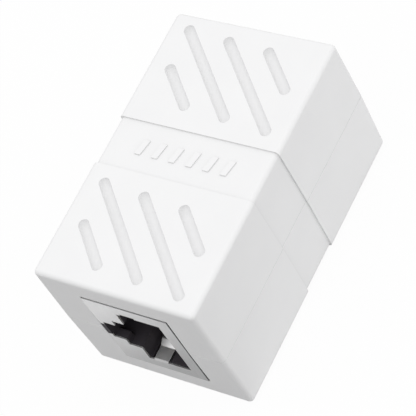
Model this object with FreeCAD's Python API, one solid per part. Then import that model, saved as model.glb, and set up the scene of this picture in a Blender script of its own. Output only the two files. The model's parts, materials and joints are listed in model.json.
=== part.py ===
"""Shielded eight-way inline coupler: two jacks back to back on one board, in a two-part case.

Millimetres, +Z up, +X to the right, +Y from the front port to the rear port. Everything is
modelled about the middle of the case, whose parting line is the plane z = 0, and is lifted
by half the case height when it is written, so the origin ends up at the middle of the
underside.

A jack is modelled on its own axes: its face is the plane y = 0, +Y goes into the port, +X
is its contact side, -X its latch and board side, and its contacts are spread along Z.
"""
import FreeCAD, Part
import math
import os
from FreeCAD import Placement, Rotation, Vector

# Jack envelope and the sheet-metal shield that wraps it
JACK_HEIGHT = 13.4          # board side to contact side, along X
JACK_WIDTH = 15.8           # across the contacts, along Z
JACK_DEPTH = 19.5           # face to back, along Y
SHEET = 0.25                # thickness of the shield
SHEET_BEND = 0.05           # outside radius of the coined folds round the face
SHEET_SEAM = 0.15           # slits beside the flap that closes the back
UNDERSIDE_SHEET = 5.8       # how far back the shield covers the board side
HOUSING_FIT = 0.05          # play between the shield and what it wraps

# Plug opening
PORT_WIDTH = 12.0
PORT_HEIGHT = 6.8
PORT_DEPTH = 12.5
CONTACT_RIM = 1.9           # face left between the opening and the contact side
KEY_WIDTH = 6.5             # first step, for the plug's latch
KEY_HEIGHT = 2.0
LATCH_WIDTH = 4.0           # second step
LATCH_HEIGHT = 2.0
SLIT_WIDTH = 2.8            # third step: the shield is slit on through its fold
SLIT_RUN = 1.5              # and this far back along its underside
NOSE_FIT = 0.05             # play of the housing's nose in that slit
CATCH_THICKNESS = 1.4       # shoulders that the latch snaps behind
CATCH_POCKET = 7.0          # length of the pocket behind them

# Earthing fingers folded in from the two side edges of the opening
FINGER_WIDTH = 2.3
FINGER_OFFSET = -0.2        # from the jack's middle, along X
FINGER_ROOT = 0.8           # sheet that turns in with the finger
FINGER_FLAT = 2.25          # depth at which the flat part ends
FINGER_CREST = 3.1          # depth of the bump that presses on the plug
FINGER_END = 4.3
FINGER_RISE = 0.7           # how far the bump stands into the port
FINGER_BEND = 0.22
FINGER_PLAY = 0.3           # room round the finger in the housing

# Contacts: bent strips from the board, over the port and back into it
CONTACT_COUNT = 8
CONTACT_PITCH = 1.016
CONTACT_WIDTH = 0.45
CONTACT_SHEET = 0.3
CONTACT_BEND = 0.5
CONTACT_FIT = 0.03          # play round the contacts in the carrier
CONTACT_COVER = 0.62        # carrier left over the contacts
ROW_SPACING = 2.54          # the tails stand in two rows
LAST_ROW_MARGIN = 1.5       # from the second row of tails to the back of the shield
TAIL_STICKOUT = 0.9         # tail left behind the board
FOLD_DEPTH = 2.6            # where the contacts turn back into the port
FOLD_DROP = 0.95            # height of that turn
FREE_END_HEIGHT = 4.0       # of the free ends over the port's floor
FREE_END_PLAY = 0.3         # from the free ends to the port's back wall

# Moulded housing and contact carrier
TRENCH_FRONT = 2.2          # wall left in front of the contacts
TRENCH_PLAY = 0.6           # room beside the outer contacts
CARRIER_FRONT = 3.9         # front edge of the carrier's roof plate
CARRIER_FIT = 0.05
BACK_WALL = 1.25            # of the housing, behind the port
COMB_DEPTH = 2.0            # length of the teeth between the free ends
COMB_SLOT = 0.6
COMB_DROP = 0.5             # teeth reach this far below the free ends
COMB_ROOT = 0.6             # teeth run this far into the back wall
POST_DIAMETER = 3.2         # the housing's two posts in the board
POST_SPACING = 11.43
POST_TO_ROW = 6.35          # from the posts to the first row of tails

# Shield legs in the board
LEG_WIDTH = 1.6
LEG_TO_POST = 3.75          # behind the posts
LEG_STICKOUT = 0.9

# Board
BOARD_THICKNESS = 1.6
BOARD_STANDOFF = 0.1        # under the shields
BOARD_MARGIN = 1.0          # past the outer posts
BOARD_CORNER = 1.0
BOARD_FIT = 0.15            # play round the board in the case
HOLE_FIT = 0.15             # play round tails and legs, each side
POST_FIT = 0.05

# Case
CASE_WIDTH = 25.4           # across the parting line
CASE_HEIGHT = 23.3
JACK_GAP = 3.96             # between the backs of the two jacks
FACE_RECESS = 0.02          # jack faces inside the case ends
JACK_SHIFT = 0.3            # jacks off the middle, away from the board
JACK_DROP = 0.1             # jacks below the parting line
GAP_ABOVE = 0.42            # between a jack face and the case end: over it
GAP_BESIDE = 0.3            # on its contact side
GAP_TIGHT = 0.03            # under it and on its board side, where it is held
WALL = 2.0                  # sides, floor and roof
END_WALL = 1.8
DRAFT_ANGLE = 0.65          # degrees, each half away from the parting line
EDGE_RADIUS = 0.7
INNER_RADIUS = 0.5
SEAM_CHAMFER = 0.06         # of both halves, along the parting line

# Waist round the middle of the case, with a row of raised bars on top
WAIST_LENGTH = 7.6
WAIST_DEPTH = 0.22
BAR_COUNT = 6
BAR_LENGTH = 2.3
BAR_WIDTH = 0.9
BAR_PITCH = 2.7
BAR_SLANT = 12.0            # degrees
BAR_RAISE = 0.15

# Slanted grip grooves on each pad
GROOVE_WIDTH = 1.6
GROOVE_DEPTH = 0.72
GROOVE_PITCH = 4.35
GROOVE_COUNT = 4
GROOVE_LONG = 16.85         # between the centres of its round ends
GROOVE_SHORT = 7.1
GROOVE_SHIFT = 2.55         # neighbours on either side of the pad's middle slide apart
GROOVE_ANGLE = -45.0        # degrees from +X

# Joint between the two halves of the case
LIP_SETBACK = 0.1           # of the lip, outside the cavity wall
LIP_THICKNESS = 0.8
LIP_HEIGHT = 0.8
LIP_FIT = 0.05
SNAP_REACH = 0.3            # snap ridges along the lip
SNAP_LENGTH = 6.0
SNAP_SPACING = 24.0
RIB_THICKNESS = 1.2
RIB_DEPTHS = (3.5, 10.9)    # cradle ribs, measured back from each jack's face
RIB_FIT = 0.1

# Sizes that follow
CASE_LENGTH = 2 * (JACK_DEPTH + FACE_RECESS) + JACK_GAP
HALF_HEIGHT = CASE_HEIGHT / 2
PORT_TOP = JACK_HEIGHT / 2 - CONTACT_RIM
PORT_FLOOR = PORT_TOP - PORT_HEIGHT
KEY_FLOOR = PORT_FLOOR - KEY_HEIGHT
LATCH_FLOOR = KEY_FLOOR - LATCH_HEIGHT
INSIDE_HEIGHT = JACK_HEIGHT - 2 * (SHEET + HOUSING_FIT)
INSIDE_WIDTH = JACK_WIDTH - 2 * (SHEET + HOUSING_FIT)
INSIDE_FRONT = SHEET + HOUSING_FIT
INSIDE_BACK = JACK_DEPTH - SHEET - HOUSING_FIT
HOUSING_BACK = PORT_DEPTH + BACK_WALL
BOARD_FACE = -JACK_HEIGHT / 2 - BOARD_STANDOFF
BOARD_BACK = BOARD_FACE - BOARD_THICKNESS
BOARD_WIDTH = CASE_HEIGHT - 2 * (WALL + BOARD_FIT)
SECOND_ROW = JACK_DEPTH - LAST_ROW_MARGIN
FIRST_ROW = SECOND_ROW - ROW_SPACING
POST_DEPTH = FIRST_ROW - POST_TO_ROW
LEG_DEPTH = POST_DEPTH + LEG_TO_POST
BOARD_LENGTH = CASE_LENGTH + 2 * (POST_DIAMETER / 2 + BOARD_MARGIN - FACE_RECESS - POST_DEPTH)
CONTACT_RUN = INSIDE_HEIGHT / 2 - CONTACT_COVER - CONTACT_SHEET / 2
CONTACT_SPREAD = (CONTACT_COUNT - 1) * CONTACT_PITCH + CONTACT_WIDTH + 2 * TRENCH_PLAY


def block(x_range, y_range, z_range):
    """Box between three pairs of coordinates."""
    (x_low, x_high), (y_low, y_high), (z_low, z_high) = x_range, y_range, z_range
    corner = Vector(x_low, y_low, z_low)
    return Part.makeBox(x_high - x_low, y_high - y_low, z_high - z_low, corner)


def span(centre, width):
    """Pair of coordinates centred on one value."""
    return centre - width / 2, centre + width / 2


def bent_edges(points, radii):
    """Straight edges from point to point, joined at the corners by tangent arcs."""
    edges = []
    start = points[0]
    for before, corner, after, radius in zip(points, points[1:], points[2:], radii):
        back = (before - corner).normalize()
        ahead = (after - corner).normalize()
        half_angle = back.getAngle(ahead) / 2
        setback = radius / math.tan(half_angle)
        inward = (back + ahead).normalize()
        arc_start = corner + back * setback
        arc_middle = corner + inward * (radius / math.sin(half_angle) - radius)
        arc_end = corner + ahead * setback
        edges.append(Part.LineSegment(start, arc_start).toShape())
        edges.append(Part.Arc(arc_start, arc_middle, arc_end).toShape())
        start = arc_end
    edges.append(Part.LineSegment(start, points[-1]).toShape())
    return edges


def bent_strip(points, bend, thickness, across):
    """Sheet strip bent along points in one plane, as wide as the vector across that plane."""
    axis = Vector(across).normalize()
    normals = [axis.cross(end - start).normalize() for start, end in zip(points, points[1:])]
    sides = []
    for offset in (thickness / 2, -thickness / 2):
        line, radii = [points[0] + normals[0] * offset], []
        for corner, before, after in zip(points[1:], normals, normals[1:]):
            line.append(corner + (before + after) * (offset / (1 + before.dot(after))))
            radii.append(bend - math.copysign(offset, offset * axis.dot(before.cross(after))))
        line.append(points[-1] + normals[-1] * offset)
        sides.append(bent_edges(line, radii))
    first, second = sides
    caps = [
        Part.LineSegment(first[0].Vertexes[0].Point, second[0].Vertexes[0].Point).toShape(),
        Part.LineSegment(first[-1].Vertexes[-1].Point, second[-1].Vertexes[-1].Point).toShape(),
    ]
    outline = Part.Wire(Part.sortEdges(first + second + caps)[0])
    outline.translate(across * -0.5)
    return Part.Face(outline).extrude(across)


# ---------------------------------------------------------------- jack, on its own axes

def port_steps(depth):
    """The plug opening as far as one depth: the slot for the plug and two latch steps."""
    slot = block((PORT_FLOOR, PORT_TOP), (0, depth), span(0, PORT_WIDTH))
    key = block((KEY_FLOOR, PORT_FLOOR), (0, depth), span(0, KEY_WIDTH))
    latch = block((LATCH_FLOOR, KEY_FLOOR), (0, depth), span(0, LATCH_WIDTH))
    return slot.fuse([key, latch]).removeSplitter()


def earthing_finger(side):
    """Strip turned in from the opening's edge, with a bump that presses on the plug."""
    edge = PORT_WIDTH / 2 + SHEET / 2
    outline = (
        (SHEET / 2, edge + FINGER_ROOT),
        (SHEET / 2, edge),
        (FINGER_FLAT, edge),
        (FINGER_CREST, edge - FINGER_RISE),
        (FINGER_END, edge),
    )
    points = [Vector(FINGER_OFFSET, y, side * z) for y, z in outline]
    return bent_strip(points, FINGER_BEND, SHEET, Vector(FINGER_WIDTH, 0, 0))


def shield_leg(side):
    """Solder leg that carries on from one side of the shield, through the board."""
    x_range = (BOARD_BACK - LEG_STICKOUT, -JACK_HEIGHT / 2 + SHEET)
    z_middle = side * (JACK_WIDTH - SHEET) / 2
    leg = block(x_range, span(LEG_DEPTH, LEG_WIDTH), span(z_middle, SHEET))
    tip_edges = [
        edge for edge in leg.Edges
        if all(abs(vertex.X - x_range[0]) < SHEET / 10 for vertex in edge.Vertexes)
        and edge.Length < LEG_WIDTH / 2
    ]
    return leg.makeChamfer(LEG_WIDTH / 4, tip_edges)


def jack_shield():
    """Folded sheet: face with the opening, sides, contact side, back flap, legs, fingers."""
    outside = block(span(0, JACK_HEIGHT), (0, JACK_DEPTH), span(0, JACK_WIDTH))
    face_edges = [
        edge for edge in outside.Edges
        if all(abs(vertex.Y) < SHEET / 10 for vertex in edge.Vertexes)
    ]
    outside = outside.makeFillet(SHEET_BEND, face_edges)
    inside_height = JACK_HEIGHT - 2 * SHEET
    inside_width = JACK_WIDTH - 2 * SHEET
    inside = block(span(0, inside_height), (SHEET, JACK_DEPTH - SHEET), span(0, inside_width))
    underside = block(
        (-JACK_HEIGHT, -inside_height / 2),
        (UNDERSIDE_SHEET, JACK_DEPTH - SHEET),
        span(0, inside_width),
    )
    slit = block((-JACK_HEIGHT / 2, LATCH_FLOOR), (0, SLIT_RUN), span(0, SLIT_WIDTH))
    cuts = [inside, underside, slit, port_steps(SHEET)]
    for side in (-1, 1):
        root = (PORT_WIDTH / 2, PORT_WIDTH / 2 + SHEET + FINGER_BEND)
        z_range = sorted(side * z for z in root)
        cuts.append(block(span(FINGER_OFFSET, FINGER_WIDTH), (0, SHEET), z_range))
        seam_middle = side * (inside_width - SHEET_SEAM) / 2
        seam = (JACK_DEPTH - SHEET, JACK_DEPTH)
        flap_side = (-JACK_HEIGHT / 2, inside_height / 2)
        cuts.append(block(flap_side, seam, span(seam_middle, SHEET_SEAM)))
    sheet = outside.cut(cuts)
    folded_on = [earthing_finger(side) for side in (-1, 1)]
    folded_on += [shield_leg(side) for side in (-1, 1)]
    return sheet.fuse(folded_on).removeSplitter()


def jack_housing():
    """Moulded block round the port: nose in the shield's slit, trench, comb, two board posts."""
    body = block(span(0, INSIDE_HEIGHT), (INSIDE_FRONT, HOUSING_BACK), span(0, INSIDE_WIDTH))
    catch_end = CATCH_THICKNESS + CATCH_POCKET
    pocket = block((LATCH_FLOOR, PORT_FLOOR), (CATCH_THICKNESS, catch_end), span(0, KEY_WIDTH))
    trench = block((PORT_TOP, JACK_HEIGHT), (TRENCH_FRONT, HOUSING_BACK), span(0, CONTACT_SPREAD))
    cuts = [port_steps(PORT_DEPTH), pocket, trench]
    for side in (-1, 1):
        deflection = (PORT_WIDTH / 2 - SHEET, JACK_WIDTH / 2)
        z_range = sorted(side * z for z in deflection)
        x_range = span(FINGER_OFFSET, FINGER_WIDTH + 2 * FINGER_PLAY)
        cuts.append(block(x_range, (0, FINGER_END + FINGER_PLAY), z_range))
    body = body.cut(cuts)

    free_end = PORT_FLOOR + FREE_END_HEIGHT
    tooth_width = CONTACT_PITCH - COMB_SLOT
    nose = block(
        (NOSE_FIT - JACK_HEIGHT / 2, LATCH_FLOOR),
        (NOSE_FIT, SLIT_RUN - NOSE_FIT),
        span(0, SLIT_WIDTH - 2 * NOSE_FIT),
    )
    added = [nose]
    for index in range(CONTACT_COUNT + 1):
        z_middle = (index - CONTACT_COUNT / 2) * CONTACT_PITCH
        x_range = (free_end - COMB_DROP, PORT_TOP)
        y_range = (PORT_DEPTH - COMB_DEPTH, PORT_DEPTH + COMB_ROOT)
        added.append(block(x_range, y_range, span(z_middle, tooth_width)))
    post_length = -INSIDE_HEIGHT / 2 - BOARD_BACK
    for side in (-1, 1):
        foot = Vector(BOARD_BACK, POST_DEPTH, side * POST_SPACING / 2)
        added.append(Part.makeCylinder(POST_DIAMETER / 2, post_length, foot, Vector(1, 0, 0)))
    return body.fuse(added).removeSplitter()


def tail_place(index):
    """Depth and height at which one contact's tail goes through the board."""
    depth = FIRST_ROW if index % 2 == 0 else SECOND_ROW
    return depth, (index - (CONTACT_COUNT - 1) / 2) * CONTACT_PITCH


def contact(index):
    """One contact, from its tail behind the board to its free end."""
    y_tail, z_middle = tail_place(index)
    free_end = PORT_FLOOR + FREE_END_HEIGHT
    outline = (
        (BOARD_BACK - TAIL_STICKOUT, y_tail),
        (CONTACT_RUN, y_tail),
        (CONTACT_RUN, FOLD_DEPTH),
        (CONTACT_RUN - FOLD_DROP, FOLD_DEPTH),
        (free_end, PORT_DEPTH - FREE_END_PLAY),
    )
    points = [Vector(x, y, z_middle) for x, y in outline]
    return bent_strip(points, CONTACT_BEND, CONTACT_SHEET, Vector(0, 0, CONTACT_WIDTH))


def contact_carrier():
    """Insert moulded round the contacts: a roof plate in the trench and a block behind."""
    plate_width = CONTACT_SPREAD - 2 * CARRIER_FIT
    plate_floor = CONTACT_RUN - CONTACT_SHEET / 2 - CONTACT_FIT - CONTACT_COVER / 2
    top = INSIDE_HEIGHT / 2
    rear = (HOUSING_BACK + CARRIER_FIT, INSIDE_BACK)
    plate = block((plate_floor, top), (CARRIER_FRONT, rear[0]), span(0, plate_width))
    insert = block(span(0, INSIDE_HEIGHT), rear, span(0, INSIDE_WIDTH)).fuse(plate)
    thickness = CONTACT_SHEET + 2 * CONTACT_FIT
    run_low, run_top = span(CONTACT_RUN, thickness)
    channels = []
    for index in range(CONTACT_COUNT):
        y_tail, z_middle = tail_place(index)
        y_low, y_high = span(y_tail, thickness)
        z_range = span(z_middle, CONTACT_WIDTH + 2 * CONTACT_FIT)
        channels.append(block((-JACK_HEIGHT / 2, run_top), (y_low, y_high), z_range))
        channels.append(block((run_low, run_top), (CARRIER_FRONT - CARRIER_FIT, y_high), z_range))
        bend_room = (run_low - CONTACT_BEND, run_top), (y_low - CONTACT_BEND, y_high)
        channels.append(block(*bend_room, z_range))
    return insert.cut(channels).removeSplitter()


def board_cutters():
    """What one jack needs through the board: holes for tails, posts and shield legs."""
    through = BOARD_THICKNESS + 2 * BOARD_STANDOFF
    below = BOARD_BACK - BOARD_STANDOFF
    cutters = []
    for index in range(CONTACT_COUNT):
        y_tail, z_tail = tail_place(index)
        y_range = span(y_tail, CONTACT_SHEET + 2 * HOLE_FIT)
        z_range = span(z_tail, CONTACT_WIDTH + 2 * HOLE_FIT)
        cutters.append(block((below, below + through), y_range, z_range))
    for side in (-1, 1):
        start = Vector(below, POST_DEPTH, side * POST_SPACING / 2)
        radius = POST_DIAMETER / 2 + POST_FIT
        cutters.append(Part.makeCylinder(radius, through, start, Vector(1, 0, 0)))
        z_middle = side * (JACK_WIDTH - SHEET) / 2
        y_range = span(LEG_DEPTH, LEG_WIDTH + 2 * HOLE_FIT)
        z_range = span(z_middle, SHEET + 2 * HOLE_FIT)
        cutters.append(block((below, below + through), y_range, z_range))
    return cutters


def at_end(shape, end):
    """Move a shape from the jack's own axes to the front (-1) or rear (+1) of the case."""
    turn = Rotation(Vector(1, 0, 0), 0 if end < 0 else 180)
    face = Vector(JACK_SHIFT, end * (CASE_LENGTH / 2 - FACE_RECESS), -JACK_DROP)
    moved = shape.copy()
    moved.Placement = Placement(face, turn)
    return moved


# ---------------------------------------------------------------- board

def circuit_board():
    """Board on edge, with both jacks' holes."""
    x_range = (JACK_SHIFT + BOARD_BACK, JACK_SHIFT + BOARD_FACE)
    board = block(x_range, span(0, BOARD_LENGTH), span(0, BOARD_WIDTH))
    corners = [
        edge for edge in board.Edges
        if abs(edge.Vertexes[0].X - edge.Vertexes[1].X) > BOARD_THICKNESS / 2
    ]
    board = board.makeFillet(BOARD_CORNER, corners)
    cutters = [at_end(cutter, end) for end in (-1, 1) for cutter in board_cutters()]
    return board.cut(cutters)


# ---------------------------------------------------------------- case

def rounded_rectangle(width, length, radius, height):
    """Closed wire centred on the Z axis at one height."""
    half_width, half_length = width / 2, length / 2
    edges = []
    for quarter in range(4):
        turn = Rotation(Vector(0, 0, 1), 90 * quarter)
        across, along = (half_width, half_length) if quarter % 2 == 0 else (half_length, half_width)
        line_start = Vector(across, radius - along, height)
        arc_start = Vector(across, along - radius, height)
        diagonal = radius * (1 - math.sqrt(0.5))
        arc_middle = Vector(across - diagonal, along - diagonal, height)
        arc_end = Vector(across - radius, along, height)
        side = [turn.multVec(point) for point in (line_start, arc_start, arc_middle, arc_end)]
        edges.append(Part.LineSegment(side[0], side[1]).toShape())
        edges.append(Part.Arc(side[1], side[2], side[3]).toShape())
    return Part.Wire(edges)


def drafted_block(width, length, height):
    """Block with sharp edges, standing on z = 0, that narrows upwards."""
    lean = height * math.tan(math.radians(DRAFT_ANGLE))
    half_width, half_length = width / 2, length / 2
    solid = Part.makeWedge(
        -half_width, 0, -half_length, lean - half_length, lean - half_width,
        half_width, height, half_length, half_length - lean, half_width - lean,
    )
    solid.rotate(Vector(0, 0, 0), Vector(1, 0, 0), 90)
    return solid


def softened_block(width, length, height):
    """Drafted block with rounded edges, but for its foot, which has the seam's chamfer."""
    sharp = drafted_block(width, length, height)
    raised = [edge for edge in sharp.Edges if any(vertex.Z > height / 2 for vertex in edge.Vertexes)]
    rounded = sharp.makeFillet(EDGE_RADIUS, raised)
    foot = [edge for edge in rounded.Edges if all(vertex.Z < height / 2 for vertex in edge.Vertexes)]
    return rounded.makeChamfer(SEAM_CHAMFER, foot)


def upright_edges(solid):
    """The edges that rise from a standing block's foot."""
    return [
        edge for edge in solid.Edges
        if abs(edge.Vertexes[0].Z - edge.Vertexes[1].Z) > HALF_HEIGHT / 2
    ]


def grip_grooves():
    """Cutters for the slanted grooves on top: round-bottomed, with ball ends."""
    radius = GROOVE_WIDTH / 2
    turn = Rotation(Vector(0, 0, 1), GROOVE_ANGLE)
    pad_middle = (CASE_LENGTH + WAIST_LENGTH) / 4
    height = HALF_HEIGHT - GROOVE_DEPTH + radius
    cutters = []
    for pad in (-1, 1):
        for index in range(GROOVE_COUNT):
            offset = (index - (GROOVE_COUNT - 1) / 2) * GROOVE_PITCH
            inner = abs(offset) < GROOVE_PITCH
            length = GROOVE_LONG if inner else GROOVE_SHORT
            slide = math.copysign(GROOVE_SHIFT, offset)
            middle = Vector(0, pad * pad_middle, height) + turn.multVec(Vector(slide, offset, 0))
            half = turn.multVec(Vector(length / 2, 0, 0))
            cutters.append(Part.makeCylinder(radius, length, middle - half, half))
            cutters.append(Part.makeSphere(radius, middle - half))
            cutters.append(Part.makeSphere(radius, middle + half))
    return cutters


def outer_half():
    """Outside of the upper half: two pads and the shallow waist between them."""
    pads = softened_block(CASE_WIDTH, CASE_LENGTH, HALF_HEIGHT)
    core = softened_block(CASE_WIDTH - 2 * WAIST_DEPTH, CASE_LENGTH, HALF_HEIGHT - WAIST_DEPTH)
    band = block(span(0, 2 * CASE_WIDTH), span(0, WAIST_LENGTH), (0, CASE_HEIGHT))
    return pads.cut(band).fuse(core.common(band)).removeSplitter()


def raised_bars():
    """Row of slanted bars along the waist's top."""
    base = HALF_HEIGHT - WAIST_DEPTH
    lean = BAR_LENGTH * math.tan(math.radians(BAR_SLANT))
    bars = []
    for index in range(BAR_COUNT):
        x_middle = (index - (BAR_COUNT - 1) / 2) * BAR_PITCH
        corners = [
            Vector(x_middle - (BAR_WIDTH + lean) / 2, -BAR_LENGTH / 2, base),
            Vector(x_middle + (BAR_WIDTH - lean) / 2, -BAR_LENGTH / 2, base),
            Vector(x_middle + (BAR_WIDTH + lean) / 2, BAR_LENGTH / 2, base),
            Vector(x_middle - (BAR_WIDTH - lean) / 2, BAR_LENGTH / 2, base),
        ]
        outline = Part.Face(Part.makePolygon(corners + corners[:1]))
        bars.append(outline.extrude(Vector(0, 0, BAR_RAISE)))
    return bars


def cavity_half():
    """Room inside the upper half."""
    length = CASE_LENGTH - 2 * END_WALL
    room = drafted_block(CASE_WIDTH - 2 * WALL, length, HALF_HEIGHT - WALL)
    return room.makeFillet(INNER_RADIUS, upright_edges(room))


def jack_room(gap, y_range, beside, above):
    """Space that the jacks pass through: one gap on two sides, and others beside and above."""
    x_middle, z_middle = JACK_SHIFT, -JACK_DROP
    x_range = (x_middle - JACK_HEIGHT / 2 - gap, x_middle + JACK_HEIGHT / 2 + beside)
    z_range = (z_middle - JACK_WIDTH / 2 - gap, z_middle + JACK_WIDTH / 2 + above)
    return block(x_range, y_range, z_range)


def cradle_ribs(cavity, half):
    """Cross ribs that hold the jacks and the board's edge, in one half's cavity."""
    face = CASE_LENGTH / 2 - FACE_RECESS
    stop = JACK_GAP / 2 - RIB_FIT - RIB_THICKNESS / 2
    middles = [face - depth for depth in RIB_DEPTHS] + [stop]
    z_range = sorted((half * RIB_FIT, half * HALF_HEIGHT))
    plates = [
        block(span(0, CASE_WIDTH), span(end * middle, RIB_THICKNESS), z_range).common(cavity)
        for end in (-1, 1) for middle in middles
    ]
    board_x = (JACK_SHIFT + BOARD_BACK - RIB_FIT, JACK_SHIFT + BOARD_FACE + RIB_FIT)
    board_y = span(0, BOARD_LENGTH + 2 * BOARD_FIT)
    board_z = span(0, BOARD_WIDTH + 2 * BOARD_FIT)
    rooms = [block(board_x, board_y, board_z)]
    for end in (-1, 1):
        y_range = sorted((end * JACK_GAP / 2, end * CASE_LENGTH))
        rooms.append(jack_room(RIB_FIT, y_range, RIB_FIT, RIB_FIT))
    return [plate.cut(rooms) for plate in plates]


def lip_ring(inner, outer, height):
    """Ring on the parting line between two outlines, each so far outside the cavity wall."""
    width = CASE_WIDTH - 2 * WALL
    length = CASE_LENGTH - 2 * END_WALL
    outlines = [
        rounded_rectangle(width + 2 * offset, length + 2 * offset, INNER_RADIUS + offset, 0)
        for offset in (outer, inner)
    ]
    whole, hole = [Part.Face(outline).extrude(Vector(0, 0, height)) for outline in outlines]
    return whole.cut(hole)


def snap_ridges(play):
    """Three-sided ridges along the lip's outer faces, near the four corners."""
    x_face = CASE_WIDTH / 2 - WALL + LIP_SETBACK + LIP_THICKNESS
    reach = SNAP_REACH + play
    ridges = []
    for side in (-1, 1):
        for end in (-1, 1):
            y_start = end * SNAP_SPACING / 2 - SNAP_LENGTH / 2 - play
            corners = [
                Vector(side * x_face, y_start, LIP_HEIGHT / 2 - reach),
                Vector(side * (x_face + reach), y_start, LIP_HEIGHT / 2),
                Vector(side * x_face, y_start, LIP_HEIGHT / 2 + reach),
            ]
            section = Part.Face(Part.makePolygon(corners + corners[:1]))
            ridges.append(section.extrude(Vector(0, SNAP_LENGTH + 2 * play, 0)))
    return ridges


def port_openings():
    """Cutters through the two end walls, round the jack faces."""
    depth = END_WALL + INNER_RADIUS
    openings = []
    for end in (-1, 1):
        y_range = sorted((end * CASE_LENGTH, end * (CASE_LENGTH / 2 - depth)))
        openings.append(jack_room(GAP_TIGHT, y_range, GAP_BESIDE, GAP_ABOVE))
    return openings


def case_half(half):
    """Upper (+1) or lower (-1) half of the case, inside and out."""
    body, cavity = outer_half(), cavity_half()
    if half < 0:
        body = body.mirror(Vector(0, 0, 0), Vector(0, 0, 1))
        cavity = cavity.mirror(Vector(0, 0, 0), Vector(0, 0, 1))
    shell = body.cut(cavity).fuse(cradle_ribs(cavity, half))
    lip_edge = LIP_SETBACK + LIP_THICKNESS
    if half < 0:
        shell = shell.fuse([lip_ring(LIP_SETBACK, lip_edge, LIP_HEIGHT)] + snap_ridges(0))
    else:
        rebate = lip_ring(-LIP_SETBACK, lip_edge + LIP_FIT, LIP_HEIGHT + LIP_FIT)
        shell = shell.cut([rebate] + snap_ridges(LIP_FIT) + grip_grooves()).fuse(raised_bars())
    return shell.cut(port_openings()).removeSplitter()


# ---------------------------------------------------------------- writing

def write(node, shape):
    """Lift a finished shape onto its underside and write it as one solid."""
    lifted = shape.copy()
    lifted.translate(Vector(0, 0, HALF_HEIGHT))
    if len(lifted.Solids) != 1 or not lifted.isValid():
        raise ValueError(f"{node}: {len(lifted.Solids)} solids, valid {lifted.isValid()}")
    lifted.Solids[0].exportStep(os.path.join("parts", f"{node}.step"))


def main():
    os.makedirs("parts", exist_ok=True)
    write("upper_shell", case_half(1))
    write("lower_shell", case_half(-1))
    write("circuit_board", circuit_board())
    shield, housing, carrier = jack_shield(), jack_housing(), contact_carrier()
    contacts = [contact(index) for index in range(CONTACT_COUNT)]
    for name, end in (("front", -1), ("rear", 1)):
        write(f"{name}_jack_shield", at_end(shield, end))
        write(f"{name}_jack_housing", at_end(housing, end))
        write(f"{name}_contact_carrier", at_end(carrier, end))
        for number, shape in enumerate(contacts, start=1):
            write(f"{name}_contact_{number}", at_end(shape, end))


main()
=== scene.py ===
"""Looks of the inline coupler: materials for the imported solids, floor, lights and camera."""

import json
import math

import bpy
from mathutils import Matrix, Vector


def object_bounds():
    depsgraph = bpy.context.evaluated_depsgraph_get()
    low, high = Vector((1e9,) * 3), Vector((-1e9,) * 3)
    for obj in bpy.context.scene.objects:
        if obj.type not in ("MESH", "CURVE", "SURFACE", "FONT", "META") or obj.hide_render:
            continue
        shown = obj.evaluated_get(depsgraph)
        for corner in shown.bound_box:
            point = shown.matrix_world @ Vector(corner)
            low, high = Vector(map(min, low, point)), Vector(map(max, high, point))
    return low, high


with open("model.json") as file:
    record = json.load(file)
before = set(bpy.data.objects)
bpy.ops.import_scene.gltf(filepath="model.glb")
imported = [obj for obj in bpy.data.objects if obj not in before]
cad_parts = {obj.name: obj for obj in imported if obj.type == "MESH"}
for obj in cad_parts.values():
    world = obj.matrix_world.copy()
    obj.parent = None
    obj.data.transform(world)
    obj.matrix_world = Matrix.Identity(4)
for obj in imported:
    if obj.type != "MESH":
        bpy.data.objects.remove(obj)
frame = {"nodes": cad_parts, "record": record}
cad_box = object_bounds()

MM = 0.001
lowest, highest = cad_box
RIGHT_SIDE = highest[0]
FRONT_END = lowest[1]
SEAM_HEIGHT = highest[2] / 2    # the parting line is halfway up the case
WHITE = (1, 1, 1, 1)


def grey(level, bluer=0.0):
    """Opaque grey, with so much more blue."""
    return (level, level, level + bluer, 1)


# ---------------------------------------------------------------- node helpers

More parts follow.
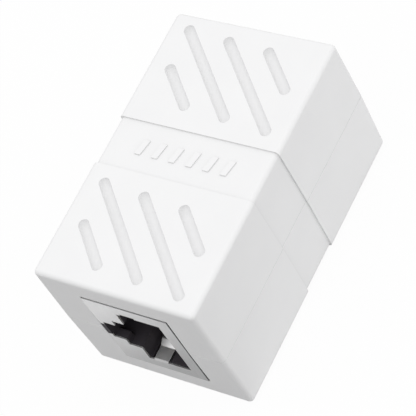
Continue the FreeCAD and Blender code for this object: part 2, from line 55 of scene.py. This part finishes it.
class Tree:
    """Short calls for building the node tree of a new material or world."""

    def __init__(self, owner):
        owner.use_nodes = True
        self.owner = owner
        self.tree = owner.node_tree
        self.tree.nodes.clear()
        self.coordinates = self.node("ShaderNodeTexCoord").outputs
        self.place = self.coordinates["Object"]

    def node(self, kind, **settings):
        made = self.tree.nodes.new(kind)
        for key, value in settings.items():
            setattr(made, key, value)
        return made

    def join(self, value, socket):
        """Set a socket from another socket, or to a constant."""
        if isinstance(value, bpy.types.NodeSocket):
            self.tree.links.new(value, socket)
        else:
            socket.default_value = value

    def compute(self, operation, first, second=0.0, third=None):
        made = self.node("ShaderNodeMath", operation=operation)
        self.join(first, made.inputs[0])
        self.join(second, made.inputs[1])
        if third is not None:
            self.join(third, made.inputs[2])
        return made.outputs[0]

    def part(self, vector, axis):
        """One part of a vector: X, Y or Z."""
        split = self.node("ShaderNodeSeparateXYZ")
        self.join(vector, split.inputs[0])
        return split.outputs[axis]

    def size(self, value):
        return self.compute("ABSOLUTE", value)

    def noise(self, size_mm, detail=2.0, stretch=(1, 1, 1)):
        """Noise with features of about one size, longer along the axes whose stretch is small."""
        mapping = self.node("ShaderNodeMapping")
        self.join(self.place, mapping.inputs["Vector"])
        mapping.inputs["Scale"].default_value = stretch
        made = self.node("ShaderNodeTexNoise")
        self.join(mapping.outputs[0], made.inputs["Vector"])
        made.inputs["Scale"].default_value = 1 / (size_mm * MM)
        made.inputs["Detail"].default_value = detail
        return made.outputs["Fac"]

    def spread(self, value, low, high, new_low=0.0, new_high=1.0):
        """Map one range on to another, clamped."""
        made = self.node("ShaderNodeMapRange")
        for socket, number in zip(made.inputs, (value, low, high, new_low, new_high)):
            self.join(number, socket)
        return made.outputs[0]

    def swing(self, noise, first=0.0, second=1.0):
        """Let a noise, whose values lie mostly between 0.3 and 0.7, swing between two numbers."""
        return self.spread(noise, 0.3, 0.7, first, second)

    def mix(self, factor, first, second):
        made = self.node("ShaderNodeMix", data_type="RGBA")
        for socket, value in zip((made.inputs[0], made.inputs[6], made.inputs[7]),
                                 (factor, first, second)):
            self.join(value, socket)
        return made.outputs[2]

    def edge_wear_and_highlight(self, radius_mm):
        """Normal that rounds sharp edges, and a mask that is 1 on those edges."""
        bevel = self.node("ShaderNodeBevel", samples=6)
        bevel.inputs["Radius"].default_value = radius_mm * MM
        geometry = self.node("ShaderNodeNewGeometry")
        agreement = self.node("ShaderNodeVectorMath", operation="DOT_PRODUCT")
        self.join(bevel.outputs[0], agreement.inputs[0])
        self.join(geometry.outputs["Normal"], agreement.inputs[1])
        return bevel.outputs[0], self.spread(agreement.outputs["Value"], 0.995, 0.85)

    def bump(self, height, distance_mm, normal=None):
        made = self.node("ShaderNodeBump")
        made.inputs["Distance"].default_value = distance_mm * MM
        self.join(height, made.inputs["Height"])
        if normal is not None:
            self.join(normal, made.inputs["Normal"])
        return made.outputs[0]

    def openness(self, reach_mm, closed, free, only_local=False):
        """0 where up to the closed share of what lies within reach is open, 1 from the free share."""
        made = self.node("ShaderNodeAmbientOcclusion", samples=8, only_local=only_local)
        made.inputs["Distance"].default_value = reach_mm * MM
        return self.spread(made.outputs["AO"], closed, free)

    def finish(self, colour, roughness, normal, **constants):
        """Join it all to a surface shader, and return the material."""
        shader = self.node("ShaderNodeBsdfPrincipled")
        self.join(colour, shader.inputs["Base Color"])
        self.join(roughness, shader.inputs["Roughness"])
        self.join(normal, shader.inputs["Normal"])
        for name, value in constants.items():
            shader.inputs[name.replace("_", " ")].default_value = value
        output = self.node("ShaderNodeOutputMaterial")
        self.join(shader.outputs[0], output.inputs["Surface"])
        return self.owner

    def finish_background(self, own, glow_kind, output_kind, seen, mirrored):
        """Blend plain white into a floor or world: one share as seen, one in gloss and glass."""
        path = self.node("ShaderNodeLightPath").outputs
        share = self.compute("MULTIPLY", path["Is Camera Ray"], seen)
        for ray in ("Is Glossy Ray", "Is Transmission Ray"):
            share = self.compute("MAXIMUM", share, self.compute("MULTIPLY", path[ray], mirrored))
        white = self.node(glow_kind)
        white.inputs["Color"].default_value = WHITE
        white.inputs["Strength"].default_value = 1.0
        blend = self.node("ShaderNodeMixShader")
        for value, socket in zip((share, own, white.outputs[0]), blend.inputs):
            self.join(value, socket)
        self.join(blend.outputs[0], self.node(output_kind).inputs["Surface"])


# ---------------------------------------------------------------- materials

def flank_step(tree):
    """1 on the walls of the waist's steps, on the two sides of the case only."""
    across = tree.size(tree.part(tree.place, "X"))
    flank = tree.spread(across, RIGHT_SIDE - 0.6 * MM, RIGHT_SIDE - 0.4 * MM)
    normal = tree.node("ShaderNodeNewGeometry").outputs["Normal"]
    faces_an_end = tree.spread(tree.size(tree.part(normal, "Y")), 0.8, 0.95)
    return tree.compute("MULTIPLY", faces_an_end, flank)


def white_plastic():
    """Satin white moulding: fine spark texture, soft mottling, painted highlight on edges, painted shade
    in corners and gaps.
    """
    tree = Tree(bpy.data.materials.new("white_plastic"))
    edge = tree.edge_wear_and_highlight(radius_mm=0.12)[1]
    mottle = tree.swing(tree.noise(6.0, detail=3.0))
    colour = tree.mix(mottle, grey(0.855, bluer=0.005), grey(0.87, bluer=0.004))
    # Edges are painted lighter: a painted highlight.
    colour = tree.mix(edge, colour, grey(0.9))

    # Concave corners are painted in shade, less so on level faces, and not at all on the flanks' steps.
    step = flank_step(tree)
    normal = tree.node("ShaderNodeNewGeometry").outputs["Normal"]
    level_face = tree.size(tree.part(normal, "Z"))
    corner_shade = tree.mix(level_face, grey(0.68, bluer=0.004), grey(0.82, bluer=0.004))
    corner_unshaded = tree.openness(reach_mm=1.8, closed=0.45, free=1.0, only_local=True)
    colour = tree.mix(tree.compute("MAXIMUM", corner_unshaded, step), corner_shade, colour)

    # Narrow gaps are painted in shade, and most of all the seam between the two halves.
    above_seam = tree.compute("SUBTRACT", tree.part(tree.place, "Z"), SEAM_HEIGHT)
    off_seam = tree.spread(tree.size(above_seam), 0.2 * MM, 0.3 * MM)
    gap_shade = tree.mix(off_seam, grey(0.52), grey(0.72))
    gap_unshaded = tree.openness(reach_mm=0.12, closed=0.6, free=0.95)
    colour = tree.mix(tree.compute("MAXIMUM", gap_unshaded, step), gap_shade, colour)

    satin = tree.swing(tree.noise(0.9, detail=4.0), 0.42, 0.52)
    roughness = tree.compute("SUBTRACT", satin, tree.compute("MULTIPLY", edge, 0.08))
    grain = tree.bump(tree.noise(0.12), 0.003)
    return tree.finish(colour, roughness, grain, Specular_IOR_Level=0.3)


def black_plastic():
    """Black moulding of the port: fine texture, greyed edges."""
    tree = Tree(bpy.data.materials.new("black_plastic"))
    rounded, edge = tree.edge_wear_and_highlight(radius_mm=0.08)
    colour = tree.mix(edge, (0.042, 0.037, 0.044, 1), (0.055, 0.05, 0.057, 1))
    roughness = tree.swing(tree.noise(0.5, detail=4.0), 0.6, 0.75)
    grain = tree.bump(tree.noise(0.09), 0.004, rounded)
    return tree.finish(colour, roughness, grain, IOR=1.35)


def tinned_sheet():
    """Tinned sheet: rolling marks, painted shade from the upper left to the lower right, painted
    highlight on the fingers, sheared edges, painted shade in gaps.
    """
    tree = Tree(bpy.data.materials.new("tinned_sheet"))
    rounded, edge = tree.edge_wear_and_highlight(radius_mm=0.06)

    # Painted shade: the sheet darkens from the upper left to the lower right of the front jack's face.
    slant = tree.compute("SUBTRACT", tree.part(tree.place, "X"), tree.part(tree.place, "Z"))
    painted_shade_slope = tree.compute("MULTIPLY_ADD", tree.noise(4.0, detail=3.0), 6.0 * MM, slant)
    colour = tree.mix(tree.spread(painted_shade_slope, -20.0 * MM, 0.0),
                      grey(0.77, bluer=0.003), grey(0.46, bluer=0.003))

    # The earthing fingers, which lie behind the face, are painted brighter than it: a painted highlight.
    from_middle = tree.size(tree.part(tree.place, "Y"))
    behind_face = tree.spread(from_middle, -FRONT_END - 0.5 * MM, -FRONT_END - 0.2 * MM, 1.0, 0.0)
    colour = tree.mix(behind_face, colour, grey(0.92))
    colour = tree.mix(edge, colour, grey(0.86))
    # Gaps are painted near black: painted shade.
    gap_unshaded = tree.openness(reach_mm=0.5, closed=0.3, free=0.75)
    colour = tree.mix(gap_unshaded, grey(0.02, bluer=0.002), colour)

    rolled = tree.noise(0.35, detail=4.0, stretch=(1.0, 1.0, 0.06))
    roughness = tree.swing(rolled, 0.34, 0.46)
    return tree.finish(colour, roughness, tree.bump(rolled, 0.002, rounded), Metallic=0.8)


def plated_contact():
    """Spring contacts: gold over the port, tin towards the tails."""
    tree = Tree(bpy.data.materials.new("plated_contact"))
    rounded, edge = tree.edge_wear_and_highlight(radius_mm=0.04)
    from_middle = tree.size(tree.part(tree.place, "Y"))
    ragged = tree.compute("MULTIPLY_ADD", tree.noise(0.4), 1.2 * MM, from_middle)
    gold = tree.spread(ragged, 7.2 * MM, 7.6 * MM)
    colour = tree.mix(gold, (0.66, 0.66, 0.65, 1), (0.94, 0.7, 0.33, 1))
    colour = tree.mix(tree.compute("MULTIPLY", edge, 0.4), colour, (0.95, 0.86, 0.66, 1))
    drawn = tree.noise(0.2, detail=3.0, stretch=(1.0, 0.08, 1.0))
    roughness = tree.swing(drawn, 0.18, 0.32)
    return tree.finish(colour, roughness, tree.bump(drawn, 0.001, rounded), Metallic=1.0)


def solder_mask():
    """Green board: glossy mask over a faint weave, bare yellowish edges."""
    tree = Tree(bpy.data.materials.new("solder_mask"))
    rounded, edge = tree.edge_wear_and_highlight(radius_mm=0.1)
    colour = tree.mix(tree.swing(tree.noise(2.5, detail=3.0)),
                      (0.02, 0.16, 0.06, 1), (0.03, 0.21, 0.09, 1))
    colour = tree.mix(edge, colour, (0.36, 0.38, 0.16, 1))
    roughness = tree.swing(tree.noise(0.7), 0.22, 0.34)

    # The board stands on edge, so the pattern is turned into its plane.
    upright = tree.node("ShaderNodeMapping")
    tree.join(tree.place, upright.inputs["Vector"])
    upright.inputs["Rotation"].default_value = (0, math.pi / 2, 0)
    weave = tree.node("ShaderNodeTexBrick")
    tree.join(upright.outputs[0], weave.inputs["Vector"])
    weave.inputs["Scale"].default_value = 1 / (1.2 * MM)
    relief = tree.bump(weave.outputs["Fac"], 0.006, rounded)
    return tree.finish(colour, roughness, relief, Coat_Weight=0.3)


FINISHES = {
    "case": white_plastic(),
    "housing": black_plastic(),
    "shield": tinned_sheet(),
    "contact": plated_contact(),
    "board": solder_mask(),
}
for part in frame["record"]["subparts"]:
    mesh = frame["nodes"][part["node"]].data
    mesh.materials.clear()
    mesh.materials.append(FINISHES[part["material_slot"]])


# ---------------------------------------------------------------- floor, world and lamp

def pale_sheet(name, near_corner, far_corner, drop_mm, bounce):
    """Level sheet, pale to the camera and in gloss, that throws back so much of the soft light."""
    tree = Tree(bpy.data.materials.new(name))
    soft_light = tree.node("ShaderNodeLightPath").outputs["Is Diffuse Ray"]
    matt = tree.node("ShaderNodeBsdfDiffuse")
    tree.join(tree.mix(soft_light, grey(0.85), grey(bounce)), matt.inputs["Color"])
    tree.finish_background(matt.outputs[0], "ShaderNodeEmission", "ShaderNodeOutputMaterial",
                           seen=0.95, mirrored=0.1)
    (x0, y0), (x1, y1) = near_corner, far_corner
    mesh = bpy.data.meshes.new(name)
    mesh.from_pydata([(x0, y0, 0), (x1, y0, 0), (x1, y1, 0), (x0, y1, 0)], [], [range(4)])
    mesh.materials.append(tree.owner)
    sheet = bpy.data.objects.new(name, mesh)
    sheet.location.z = -drop_mm * MM
    bpy.context.scene.collection.objects.link(sheet)


def white_world(level, rise):
    """Dome of soft light: one level at the horizon, and so much more straight overhead."""
    tree = Tree(bpy.data.worlds.new("studio"))
    bpy.context.scene.world = tree.owner
    upward = tree.part(tree.coordinates["Generated"], "Z")
    soft = tree.node("ShaderNodeBackground")
    soft.inputs["Color"].default_value = WHITE
    tree.join(tree.compute("MULTIPLY_ADD", upward, rise, level), soft.inputs["Strength"])
    tree.finish_background(soft.outputs[0], "ShaderNodeBackground", "ShaderNodeOutputWorld",
                           seen=1.0, mirrored=1.0)


def strip_lamp(name, place, length, height, power):
    """Long low softbox that stands level and faces the object."""
    data = bpy.data.lights.new(name, "AREA")
    data.shape = "RECTANGLE"
    data.size = length
    data.size_y = height
    data.energy = power
    lamp = bpy.data.objects.new(name, data)
    lamp.location = place
    aim = Vector((0, 0, place[2])) - Vector(place)
    lamp.rotation_mode = "QUATERNION"
    lamp.rotation_quaternion = aim.to_track_quat("-Z", "Y")
    bpy.context.scene.collection.objects.link(lamp)


FLOOR_REACH = 4.0
CARD_REACH = 2.0
pale_sheet("floor", (-FLOOR_REACH, -FLOOR_REACH), (FLOOR_REACH, FLOOR_REACH), drop_mm=0.02, bounce=0.155)
pale_sheet("bounce_card", (RIGHT_SIDE, FRONT_END), (CARD_REACH, CARD_REACH), drop_mm=0.01, bounce=0.62)
white_world(level=0.8, rise=0.38)
strip_lamp("side", place=(1.0, 0.4, 0.16), length=1.2, height=0.3, power=1.2)


# ---------------------------------------------------------------- camera

CAMERA_PLACE = Vector((0.141966, -0.100803, 0.227619))
CAMERA_AHEAD = Vector((-0.51414, 0.3604, -0.77831))
CAMERA_UP = Vector((-0.21617, 0.82369, 0.52421))
LENS_MM = 178.52
SENSOR_MM = 36.0


def make_camera():
    """Long lens from the right, in front and above, rolled so that the case leans to the right."""
    data = bpy.data.cameras.new("camera")
    data.sensor_width = SENSOR_MM
    data.lens = LENS_MM
    data.dof.use_dof = False
    data.clip_start = 0.01
    data.clip_end = 20.0
    ahead = CAMERA_AHEAD.normalized()
    aside = ahead.cross(CAMERA_UP).normalized()
    turn = Matrix((aside, aside.cross(ahead), -ahead)).transposed()
    camera = bpy.data.objects.new("camera", data)
    camera.matrix_world = Matrix.Translation(CAMERA_PLACE) @ turn.to_4x4()
    bpy.context.scene.collection.objects.link(camera)
    bpy.context.scene.camera = camera


make_camera()
bpy.context.scene.view_settings.view_transform = "Standard"
